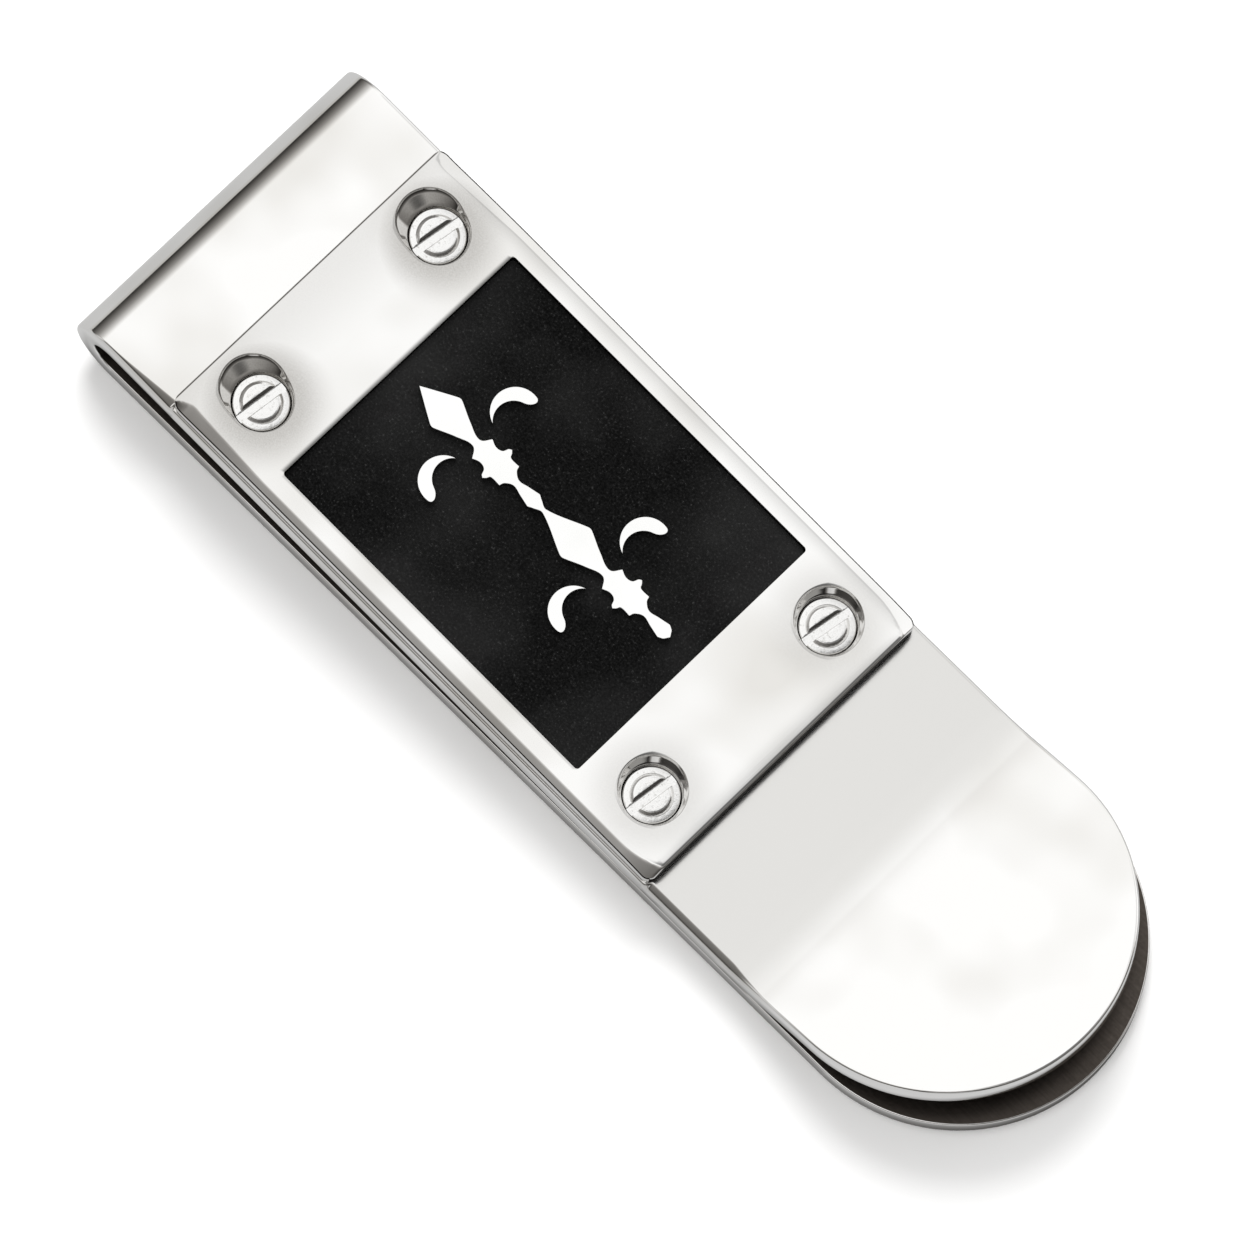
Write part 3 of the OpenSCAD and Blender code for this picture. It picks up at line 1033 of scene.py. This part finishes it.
def blunt_end(outline):
    """Crescent outline with its cut-off end drawn in to a small round one."""
    count = len(outline)
    square = [k for k in range(count) if CUT_END[0] < turn_at(outline, k) < CUT_END[1]]
    if len(square) != 2:
        return outline
    middle = (outline[square[0]] + outline[square[1]]) / 2
    far = [k for k in range(count) if (outline[k] - middle).length > BLUNT]
    first = next(k for k in far if (k - 1) % count not in far)
    kept = [outline[(first + i) % count] for i in range(len(far))]
    a, b = kept[-1], kept[0]
    from_a = a + (a - kept[-2]).normalized() * BLUNT
    from_b = b + (b - kept[1]).normalized() * BLUNT
    for i in range(1, BLUNT_STEPS):
        t = i / BLUNT_STEPS
        kept.append(a * (1 - t) ** 3 + from_a * 3 * t * (1 - t) ** 2
                    + from_b * 3 * t ** 2 * (1 - t) + b * t ** 3)
    return kept


def smooth_hollows(outline):
    """Curves through the outline that stay sharp only at crisp outward corners."""
    count = len(outline)
    crisp = [turn_at(outline, k) > CRISP_TURN for k in range(count)]
    made = []
    for k in range(count):
        n = (k + 1) % count
        p, q = outline[k], outline[n]
        length = (q - p).length
        leave = (q - p) if crisp[k] else (q - outline[k - 1]).normalized() * length
        arrive = (q - p) if crisp[n] else (outline[(n + 1) % count] - p).normalized() * length
        steps = max(1, round(length / OUTLINE_STEP))
        for i in range(steps):
            t = i / steps
            made.append(p * (2 * t ** 3 - 3 * t ** 2 + 1) + leave * (t ** 3 - 2 * t ** 2 + t)
                        + q * (3 * t ** 2 - 2 * t ** 3) + arrive * (t ** 3 - t ** 2))
    return made


def overlay(name, node, pegs, peg_length):
    """One raised piece of the emblem, with the pegs that hold it to the panel."""
    outline, top = top_outline(node)
    if sum(a.x * b.y - b.x * a.y for a, b in zip(outline, outline[1:] + outline[:1])) < 0:
        outline.reverse()
    outline = smooth_hollows(eased_corners(blunt_end(without_straights(outline))))
    count = len(outline)
    points = [(p.x, p.y, field_t) for p in outline] + [(p.x, p.y, top) for p in outline]
    faces = [(k, (k + 1) % count, (k + 1) % count + count, k + count) for k in range(count)]
    faces += [tuple(reversed(range(count))), tuple(range(count, 2 * count))]
    piece = solid(name, [plate_frame @ Vector(p) for p in points], faces, EMBLEM_STEEL)
    rods = [rod("peg", plate_frame, x, y, PEG_R, field_t - peg_length, field_t + PEG_OVERLAP, 24)
            for x, y in pegs]
    cut_by(piece, rods, "UNION")
    only(piece, EMBLEM_STEEL)
    softened(piece, EMBLEM_EDGE, angle=50)
    weighted(piece)
    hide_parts(node)
    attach(piece, "front")
    return piece


def pegs_of(node):
    """Where the pegs of an emblem node are, from the round ends under it, and their length."""
    local = local_points(node, plate_frame)
    low = min(p.z for p in local)
    ends = [p for p in local if p.z < low + 0.005]
    found = []
    for p in ends:
        for group in found:
            if math.hypot(p.x - group[0].x, p.y - group[0].y) < 0.5:
                group.append(p)
                break
        else:
            found.append([p])
    places = [((min(p.x for p in g) + max(p.x for p in g)) / 2,
               (min(p.y for p in g) + max(p.y for p in g)) / 2) for g in found]
    return places, field_t - low


EMBLEM = ["emblem_stem", "crescent_rear_left", "crescent_rear_right",
          "crescent_front_left", "crescent_front_right"]
for emblem_node in EMBLEM:
    overlay("raised_" + emblem_node, emblem_node, *pegs_of(emblem_node))


# ---------------------------------------------------------------- the screws

SLOT_W = 0.42
SLOT_DEPTH = 0.28
SLOT_EASE = 0.15        # width of the worn slope on the slot's side towards the fold
EASE_STEEPNESS = 0.78   # and how steep it is
SLOT_CHAMFER = 0.04     # size of the small chamfer on the slot's other side
CUTTER_OVER = 0.2       # how far the slot's cutter stands over the head
CUTTER_PAST = 0.4       # and past its sides
SCREW_EDGE = 0.014      # width of the rounding on a screw's edges
THREAD_TURNS = 6
# How far each slot is turned from the clip's length, in degrees
SLOT_TURN = {"screw_rear_left": -8.4, "screw_rear_right": -6.7,
             "screw_front_left": -9.5, "screw_front_right": -7.2}


def screw_profile():
    """Half outline of a screw: shank with a rounded thread, ringed head with a raised middle."""
    disc_r = head_r - 0.32
    foot = [(0, shank_bottom), (SHANK_R - 0.12, shank_bottom), (SHANK_R - 0.02, shank_bottom + 0.1)]
    thread = []
    thread_low = shank_bottom + 0.12
    thread_high = SEAT_Z - 0.06
    pitch = (thread_high - thread_low) / THREAD_TURNS
    for k in range(THREAD_TURNS):
        z = lerp(thread_low, thread_high, k / THREAD_TURNS)
        thread += [(SHANK_R - 0.01, z + pitch * 0.3), (SHANK_R - 0.01, z + pitch * 0.5),
                   (SHANK_R - 0.06, z + pitch * 0.9)]
    under = [(SHANK_R - 0.01, SEAT_Z - 0.03), (SHANK_R - 0.01, SEAT_Z), (head_r - 0.03, SEAT_Z),
             (head_r, SEAT_Z + 0.03)]
    edge = arc((head_r - 0.07, RING_Z - 0.07), 0.07, 0, 90, 5)
    ring = [(disc_r + 0.05, RING_Z), (disc_r + 0.01, RING_Z + 0.002)]
    shoulder = [(disc_r - 0.15, head_top - 0.014), (disc_r - 0.18, head_top - 0.005),
                (disc_r - 0.24, head_top - 0.003)]
    crown = [(disc_r * f, head_top - 0.002 * f) for f in (0.66, 0.5, 0.33, 0.16)] + [(0, head_top)]
    return foot + thread + under + edge + ring + shoulder + crown


def screw_piece(node):
    """One screw: turned, then slotted by a cutter whose side towards the fold has a sloped top."""
    at = screw_at[node]
    screw_frame = (plate_frame @ Matrix.Translation((at.x, at.y, 0))
                   @ Matrix.Rotation(math.radians(SLOT_TURN[node]), 4, "Z"))
    points, faces = turned(screw_profile(), 72)
    piece = solid(node + "_turned", [screw_frame @ Vector(p) for p in points], faces, SCREW_STEEL)
    floor = head_top - SLOT_DEPTH
    over = head_top + CUTTER_OVER
    past = head_r + CUTTER_PAST
    low, high = -SLOT_W / 2, SLOT_W / 2
    section = [(low, floor), (high, floor), (high, head_top - SLOT_CHAMFER),
               (high + SLOT_CHAMFER, head_top), (high + SLOT_CHAMFER, over),
               (low - SLOT_EASE, over), (low - SLOT_EASE, head_top),
               (low, head_top - EASE_STEEPNESS * SLOT_EASE)]
    corners = [(x, y, z) for y in (-past, past) for x, z in section]
    count = len(section)
    block = [tuple(range(count)), tuple(reversed(range(count, 2 * count)))]
    block += [(k, k + count, (k + 1) % count + count, (k + 1) % count) for k in range(count)]
    slot = solid("slot_cutter", [screw_frame @ Vector(p) for p in corners], block, SCREW_STEEL)
    cut_by(piece, [slot])
    only(piece, SCREW_STEEL)
    softened(piece, SCREW_EDGE, angle=30)
    weighted(piece)
    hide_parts(node)
    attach(piece, "front")
    return piece


for screw_node in SCREWS:
    screw_piece(screw_node)


# ---------------------------------------------------------------- stage, light and camera

NEAR_FADE = (-0.4, 0.9)     # distances from the clip's edge over which the paper brightens
FOLD_FADE = (1.5, -0.5)     # and the same along X from its fold end


def off_clip(tree):
    """Value that rises from 0 by the clip's outline to 1 a little way off. 1 past its fold end."""
    axes = split(tree, millimetres(tree))
    past_tip = maths(tree, "SUBTRACT", axes["X"], back_hi.x - half_w)
    past_tip = maths(tree, "MAXIMUM", past_tip, 0.0)
    across = maths(tree, "POWER", maths(tree, "ABSOLUTE", axes["Y"]), 2.0)
    away = maths(tree, "SQRT", maths(tree, "ADD", maths(tree, "MULTIPLY", past_tip, past_tip), across))
    clear = smooth_step(tree, away, *[half_w + d for d in NEAR_FADE])
    behind = smooth_step(tree, axes["X"], *[fold_x + d for d in FOLD_FADE])
    return maths(tree, "MAXIMUM", clear, behind)


SHADED_PAPER = (0.05, 0.047, 0.043, 1)      # the glowing sheet's colour right by the clip


def stage_plane(name, z, half_side, colour, glow=0.0):
    """Square of pale paper, lit by the lamps or by its own glow, which is dimmer next to the clip."""
    material, tree, shader = new_material(name)
    mottle = noise(tree, millimetres(tree), 0.05, 2.0)
    paper = ramp(tree, mottle, [(0.3, colour * 0.985), (0.7, colour)])
    if glow:
        fill(tree, shader, {"Emission Color": mixed(tree, off_clip(tree), SHADED_PAPER, paper),
                            "Emission Strength": glow, "Base Color": (0, 0, 0, 1)})
    else:
        fill(tree, shader, {"Base Color": paper})
    fill(tree, shader, {"Roughness": 0.9, "Specular IOR Level": 0.0})
    corners = [(-half_side, -half_side, z), (half_side, -half_side, z),
               (half_side, half_side, z), (-half_side, half_side, z)]
    plane = solid(name, corners, [(0, 1, 2, 3)], material)
    return plane


STAGE_HALF = 1500

# The paper that the camera sees, and a greyer sheet that only shows in the metal
floor = stage_plane("floor", -0.02, STAGE_HALF, 0.94)
floor.visible_glossy = False
floor.visible_shadow = False
mirrored_floor = stage_plane("floor_in_the_metal", -0.04, STAGE_HALF, 0.62, 1.0)
mirrored_floor.visible_camera = False
mirrored_floor.visible_diffuse = False
mirrored_floor.visible_shadow = False

# Studio seen in the metal: height of a direction, 0.5 at the horizon, and the light from there
STUDIO = [
    (0.0, (0.50, 0.49, 0.47)), (0.553, (0.56, 0.55, 0.53)), (0.561, (0.020, 0.019, 0.018)),
    (0.585, (0.042, 0.040, 0.037)), (0.62, (0.074, 0.070, 0.066)), (0.667, (0.13, 0.124, 0.117)),
    (0.711, (0.20, 0.193, 0.184)), (0.755, (0.30, 0.29, 0.28)), (0.795, (0.47, 0.46, 0.445)),
    (0.831, (0.65, 0.64, 0.625)), (0.863, (0.91, 0.90, 0.89)), (0.889, (1.08, 1.08, 1.075)),
]
PALE = 0.93     # grey that the camera sees past the paper's edge

# How the tent's lower edge differs from side to side: factors on a direction's height.
# It starts higher up towards +X and -Y, where the camera stands, and lower towards +Y.
TOWARDS_TONGUE = -0.57
TOWARDS_RIGHT = 0.36
TOWARDS_LEFT = 9.0
LEFT_FROM = 0.62        # Y of a direction from which the last one counts

# Patches of the tent, as (direction, degrees within which full, degrees past which none, depth).
# Two low ones on the right, where the tent reaches down, so level steel looks bright from low on the left:
LOW_OPENINGS = [
    ((0.68, -0.68, 0.22), 6.0, 17.0, -6.0),
    ((-0.68, -0.68, 0.22), 8.0, 24.0, -2.4),
]
# and three that are dimmed: ahead of the clip, over its tongue, and over its left edge
SHADES = [
    ((1.0, -0.25, 0.2), 15.0, 50.0, 0.35),
    ((0.30, 0.08, 0.95), 8.0, 18.5, 0.85),
    ((-0.06, 0.44, 0.9), 3.0, 13.0, 0.3),
]


def studio_world():
    """Bright tent overhead that darkens towards the horizon. The camera sees plain grey instead."""
    world = bpy.data.worlds.new("studio")
    world.use_nodes = True
    bpy.context.scene.world = world
    tree = world.node_tree
    towards = added(tree, "ShaderNodeTexCoord", {}).outputs["Generated"]
    axes = split(tree, towards)

    def patch(direction, inner, outer, depth):
        """1, less depth around a direction: full within inner degrees, none past outer."""
        both = {0: towards, 1: Vector(direction).normalized()}
        dot = added(tree, "ShaderNodeVectorMath", both, operation="DOT_PRODUCT").outputs["Value"]
        edge, full = math.cos(math.radians(outer)), math.cos(math.radians(inner))
        return smooth_step(tree, dot, edge, full, 1.0, 1.0 - depth)

    ahead = maths(tree, "MULTIPLY", maths(tree, "MAXIMUM", axes["X"], 0.0), TOWARDS_TONGUE)
    right = maths(tree, "MULTIPLY", maths(tree, "MINIMUM", axes["Y"], 0.0), TOWARDS_RIGHT)
    far_left = maths(tree, "MAXIMUM", maths(tree, "SUBTRACT", axes["Y"], LEFT_FROM), 0.0)
    left = maths(tree, "MULTIPLY", far_left, TOWARDS_LEFT)
    share = maths(tree, "ADD", maths(tree, "ADD", ahead, right), maths(tree, "ADD", left, 1.0))
    for opening in LOW_OPENINGS:
        share = maths(tree, "MULTIPLY", share, patch(*opening))
    height = maths(tree, "MULTIPLY", axes["Z"], share)
    tent = ramp(tree, maths(tree, "ADD", maths(tree, "MULTIPLY", height, 0.5), 0.5), STUDIO)
    shade = patch(*SHADES[0])
    for dimmer in SHADES[1:]:
        shade = maths(tree, "MULTIPLY", shade, patch(*dimmer))
    dimmed = added(tree, "ShaderNodeVectorMath", {0: tent, "Scale": shade}, operation="SCALE")
    seen = added(tree, "ShaderNodeLightPath", {}).outputs["Is Camera Ray"]
    shown = mixed(tree, seen, dimmed.outputs["Vector"], (PALE, PALE, PALE, 1))
    fill(tree, tree.nodes["Background"], {"Color": shown, "Strength": 1.0})


studio_world()


LAMP_DISTANCE = 0.6     # metres


def soft_light(name, direction, size, power):
    """Soft box aimed at the clip. It lights the paper and isn't mirrored in the metal."""
    light = bpy.data.lights.new(name, "AREA")
    light.shape = "DISK"
    light.size = size
    light.energy = power
    obj = bpy.data.objects.new(name, light)
    away = Vector(direction).normalized()
    obj.location = away * LAMP_DISTANCE
    obj.rotation_mode = "QUATERNION"
    obj.rotation_quaternion = away.to_track_quat("Z", "Y")
    obj.visible_glossy = False
    bpy.context.scene.collection.objects.link(obj)
    return obj


soft_light("key", (-0.6, 0.55, 0.85), 0.36, 2.9)
soft_light("fill", (0.2, -0.2, 1.0), 0.7, 1.6)

# Camera: looks down at the clip from over its tongue and its right edge, turned in the picture.
TO_CAMERA = Vector((0.16, -0.20, 0.9667)).normalized()
ROLL = -0.021
DIAGONAL = (0.6996, 0.7145)     # direction of the clip's length in the picture, right and down
AIM = (26.85, 0.368)            # where the picture's middle falls, along and across, from the fold
FRAME_WIDTH = 57.70             # width of the picture at the clip
LENS = 350
SENSOR = 36


def photo_camera():
    """Camera at the photo's viewing angle, far off with a long lens."""
    along = (Vector((1, 0, 0)) - TO_CAMERA * TO_CAMERA.x).normalized()
    across = TO_CAMERA.cross(along)
    u = along * math.cos(ROLL) + across * math.sin(ROLL)
    v = across * math.cos(ROLL) - along * math.sin(ROLL)
    right = u * DIAGONAL[0] + v * DIAGONAL[1]
    up = v * DIAGONAL[0] - u * DIAGONAL[1]
    target = u * AIM[0] + v * AIM[1] + Vector((fold_x, 0, 0))
    distance = FRAME_WIDTH * LENS / SENSOR
    camera = bpy.data.cameras.new("camera")
    camera.lens = LENS
    camera.sensor_width = SENSOR
    camera.clip_start = 0.01
    camera.clip_end = 10
    obj = bpy.data.objects.new("camera", camera)
    rows = Matrix((right, up, TO_CAMERA)).transposed()
    obj.matrix_world = Matrix.Translation((target + TO_CAMERA * distance) * MM) @ rows.to_4x4()
    bpy.context.scene.collection.objects.link(obj)
    bpy.context.scene.camera = obj


photo_camera()
bpy.context.scene.view_settings.view_transform = "Standard"
